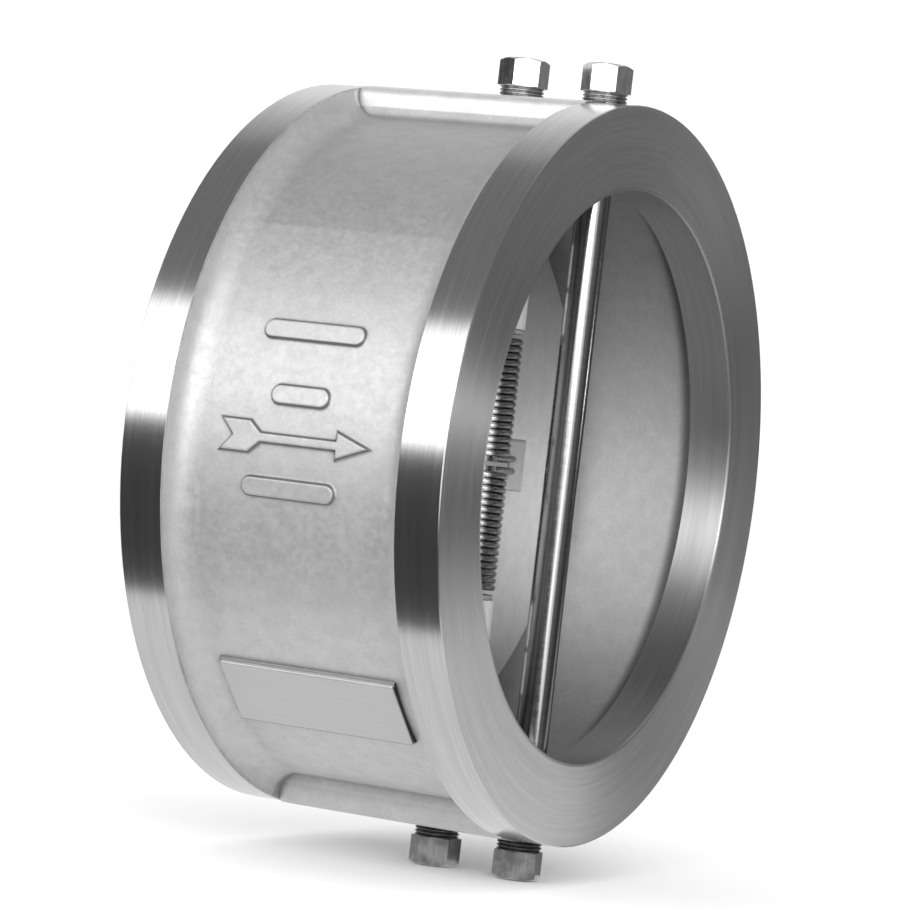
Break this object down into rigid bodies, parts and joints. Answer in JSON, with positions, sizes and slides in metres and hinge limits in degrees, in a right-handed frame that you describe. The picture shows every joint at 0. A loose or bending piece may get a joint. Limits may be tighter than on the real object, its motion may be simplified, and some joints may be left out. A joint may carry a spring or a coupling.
{
  "type": "wafer check valve",
  "caption": "Wafer check valve with a round body clamped between pipe flanges and two spring-closed half-disc plates on one hinge pin.",
  "frame": {"origin": "on the bore axis, half way between the two gasket faces", "axes": "+X along the flow, inlet to outlet; +Z along the hinge pin and the stop pin; +Y across"},
  "size_m": [0.127, 0.273, 0.3026],
  "materials": {
    "cast_stainless": "as-cast and bead-blasted stainless steel, with turned and brushed rims, gasket faces and outlet bore",
    "seat_elastomer": "matt black elastomer facing",
    "plate_stainless": "blasted stainless steel casting",
    "polished_pin": "ground and polished stainless bar",
    "spring_wire": "drawn stainless spring wire, dull",
    "retainer_steel": "machined stainless steel, the lower two tarnished",
    "bearing_polymer": "grey filled low-friction polymer",
    "nameplate_steel": "brushed stainless plate, blank"
  },
  "bodies": {
    "valve_body": {"body": "cast_stainless", "seat": "seat_elastomer", "hinge_pin": "polished_pin", "stop_pin": "polished_pin", "spring_upper": "spring_wire", "spring_lower": "spring_wire", "spring_spacer": "bearing_polymer", "spring_bearing_top": "bearing_polymer", "spring_bearing_bottom": "bearing_polymer", "plate_bearing_top": "bearing_polymer", "plate_bearing_bottom": "bearing_polymer", "body_bearing_top": "bearing_polymer", "body_bearing_bottom": "bearing_polymer", "hinge_pin_retainer_top": "retainer_steel", "hinge_pin_retainer_bottom": "retainer_steel", "stop_pin_retainer_top": "retainer_steel", "stop_pin_retainer_bottom": "retainer_steel", "nameplate": "nameplate_steel"},
    "right_plate": {"plate_right": "plate_stainless"},
    "left_plate": {"plate_left": "plate_stainless"}
  },
  "joints": [
    {"name": "right_plate_hinge", "type": "hinge", "parent": "valve_body", "child": "right_plate", "pos_m": [0.008, 0, 0], "axis": [0, 0, -1], "range_deg": [0, 80], "stiffness_Nm_per_rad": 0.64, "springref_deg": -57.3, "deforming": ["spring_upper", "spring_lower"]},
    {"name": "left_plate_hinge", "type": "hinge", "parent": "valve_body", "child": "left_plate", "pos_m": [0.008, 0, 0], "axis": [0, 0, 1], "range_deg": [0, 80], "stiffness_Nm_per_rad": 0.64, "springref_deg": -57.3, "deforming": ["spring_upper", "spring_lower"]}
  ]
}
